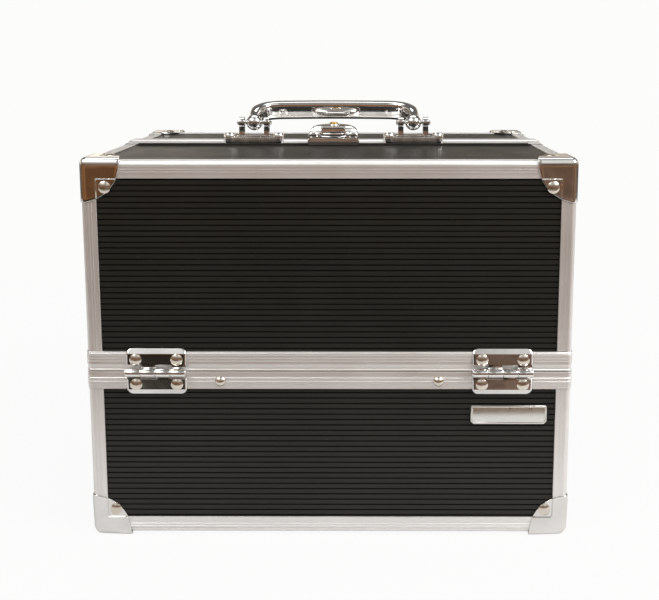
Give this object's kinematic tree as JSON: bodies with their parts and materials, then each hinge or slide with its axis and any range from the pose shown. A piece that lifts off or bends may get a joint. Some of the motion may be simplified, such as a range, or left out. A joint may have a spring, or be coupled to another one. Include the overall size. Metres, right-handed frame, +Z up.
{
  "type": "makeup train case",
  "caption": "Upright rectangular hard case with metal edges and corners; two lids hinge outwards at mid height and carry cantilever trays; folding handle and latch on top.",
  "frame": {"origin": "centre of the footprint, on the surface the case stands on", "axes": "+X along the front from left to right, +Y from front to back, +Z up"},
  "size_m": [0.3244, 0.2332, 0.2845],
  "materials": {
    "ribbed_panel": "fibreboard with a black ribbed semi-gloss plastic skin",
    "edge_aluminium": "satin, extruded with fine lengthwise lines",
    "chrome_hardware": "bright chrome plate",
    "lining_foam": "black flocked foam",
    "tray_plastic": "moulded black plastic, fine grain",
    "linkage_steel": "zinc plated",
    "lock_brass": "polished",
    "nameplate_silver": "polished with a fine raised border"
  },
  "bodies": {
    "base": {"base_floor_panel": "ribbed_panel", "base_front_panel": "ribbed_panel", "base_rear_panel": "ribbed_panel", "base_left_panel": "ribbed_panel", "base_right_panel": "ribbed_panel", "base_edge_trim": "edge_aluminium", "base_rim": "edge_aluminium", "base_lining": "lining_foam", "nameplate": "nameplate_silver", "base_corner_front_left": "chrome_hardware", "base_corner_front_right": "chrome_hardware", "base_corner_rear_left": "chrome_hardware", "base_corner_rear_right": "chrome_hardware", "hinge_lower_leaf_front_left": "chrome_hardware", "hinge_lower_leaf_front_right": "chrome_hardware", "hinge_lower_leaf_rear_left": "chrome_hardware", "hinge_lower_leaf_rear_right": "chrome_hardware", "hinge_pin_front_left": "chrome_hardware", "hinge_pin_front_right": "chrome_hardware", "hinge_pin_rear_left": "chrome_hardware", "hinge_pin_rear_right": "chrome_hardware"},
    "front_lid": {"front_lid_front_panel": "ribbed_panel", "front_lid_top_panel": "ribbed_panel", "front_lid_left_panel": "ribbed_panel", "front_lid_right_panel": "ribbed_panel", "front_lid_edge_trim": "edge_aluminium", "front_lid_rim": "edge_aluminium", "front_lid_corner_left": "chrome_hardware", "front_lid_corner_right": "chrome_hardware", "hinge_upper_leaf_front_left": "chrome_hardware", "hinge_upper_leaf_front_right": "chrome_hardware", "latch_base": "chrome_hardware", "latch_pin": "linkage_steel"},
    "rear_lid": {"rear_lid_rear_panel": "ribbed_panel", "rear_lid_top_panel": "ribbed_panel", "rear_lid_left_panel": "ribbed_panel", "rear_lid_right_panel": "ribbed_panel", "rear_lid_edge_trim": "edge_aluminium", "rear_lid_rim": "edge_aluminium", "rear_lid_corner_left": "chrome_hardware", "rear_lid_corner_right": "chrome_hardware", "hinge_upper_leaf_rear_left": "chrome_hardware", "hinge_upper_leaf_rear_right": "chrome_hardware", "lock_body": "chrome_hardware", "handle_bracket_left": "chrome_hardware", "handle_bracket_right": "chrome_hardware"},
    "latch_flap": {"latch_flap": "chrome_hardware"},
    "lock_cylinder": {"lock_cylinder": "lock_brass"},
    "handle": {"handle": "chrome_hardware", "handle_pin_left": "chrome_hardware", "handle_pin_right": "chrome_hardware"},
    "front_lower_tray": {"front_lower_tray": "tray_plastic"},
    "front_upper_tray": {"front_upper_tray": "tray_plastic"},
    "front_arms": {"front_arm_left": "linkage_steel", "front_arm_right": "linkage_steel"},
    "rear_lower_tray": {"rear_lower_tray": "tray_plastic"},
    "rear_upper_tray": {"rear_upper_tray": "tray_plastic"},
    "rear_arms": {"rear_arm_left": "linkage_steel", "rear_arm_right": "linkage_steel"}
  },
  "joints": [
    {"name": "front_lid_hinge", "type": "hinge", "parent": "base", "child": "front_lid", "pos_m": [0, -0.1138, 0.1161], "axis": [1, 0, 0], "range_deg": [0, 90]},
    {"name": "front_lower_tray_pivot", "type": "hinge", "parent": "front_lid", "child": "front_lower_tray", "pos_m": [0, -0.0883, 0.1326], "axis": [1, 0, 0], "range_deg": [-90, 0]},
    {"name": "front_upper_tray_pivot", "type": "hinge", "parent": "front_lid", "child": "front_upper_tray", "pos_m": [0, -0.0413, 0.1846], "axis": [1, 0, 0], "range_deg": [-90, 0]},
    {"name": "front_arm_pivot", "type": "hinge", "parent": "base", "child": "front_arms", "pos_m": [0, -0.09, 0.111], "axis": [1, 0, 0], "range_deg": [0, 90]},
    {"name": "rear_lid_hinge", "type": "hinge", "parent": "base", "child": "rear_lid", "pos_m": [0, 0.1138, 0.1161], "axis": [-1, 0, 0], "range_deg": [0, 90]},
    {"name": "rear_lower_tray_pivot", "type": "hinge", "parent": "rear_lid", "child": "rear_lower_tray", "pos_m": [0, 0.0883, 0.1326], "axis": [-1, 0, 0], "range_deg": [-90, 0]},
    {"name": "rear_upper_tray_pivot", "type": "hinge", "parent": "rear_lid", "child": "rear_upper_tray", "pos_m": [0, 0.0413, 0.1846], "axis": [-1, 0, 0], "range_deg": [-90, 0]},
    {"name": "rear_arm_pivot", "type": "hinge", "parent": "base", "child": "rear_arms", "pos_m": [0, 0.09, 0.111], "axis": [-1, 0, 0], "range_deg": [0, 90]},
    {"name": "handle_swing", "type": "hinge", "parent": "rear_lid", "child": "handle", "pos_m": [0, 0.0085, 0.272], "axis": [1, 0, 0], "range_deg": [0, 150]},
    {"name": "latch_flap_hinge", "type": "hinge", "parent": "front_lid", "child": "latch_flap", "pos_m": [0, -0.0036, 0.2636], "axis": [1, 0, 0], "range_deg": [0, 90]},
    {"name": "lock_turn", "type": "hinge", "parent": "rear_lid", "child": "lock_cylinder", "pos_m": [0, 0.0095, 0.266], "axis": [0, 0, 1], "range_deg": [0, 90]}
  ],
  "couplings": [
    {"joint": "front_lower_tray_pivot", "follows": "front_lid_hinge", "ratio": -1},
    {"joint": "front_upper_tray_pivot", "follows": "front_lid_hinge", "ratio": -1},
    {"joint": "front_arm_pivot", "follows": "front_lid_hinge", "ratio": 1},
    {"joint": "rear_lower_tray_pivot", "follows": "rear_lid_hinge", "ratio": -1},
    {"joint": "rear_upper_tray_pivot", "follows": "rear_lid_hinge", "ratio": -1},
    {"joint": "rear_arm_pivot", "follows": "rear_lid_hinge", "ratio": 1}
  ]
}
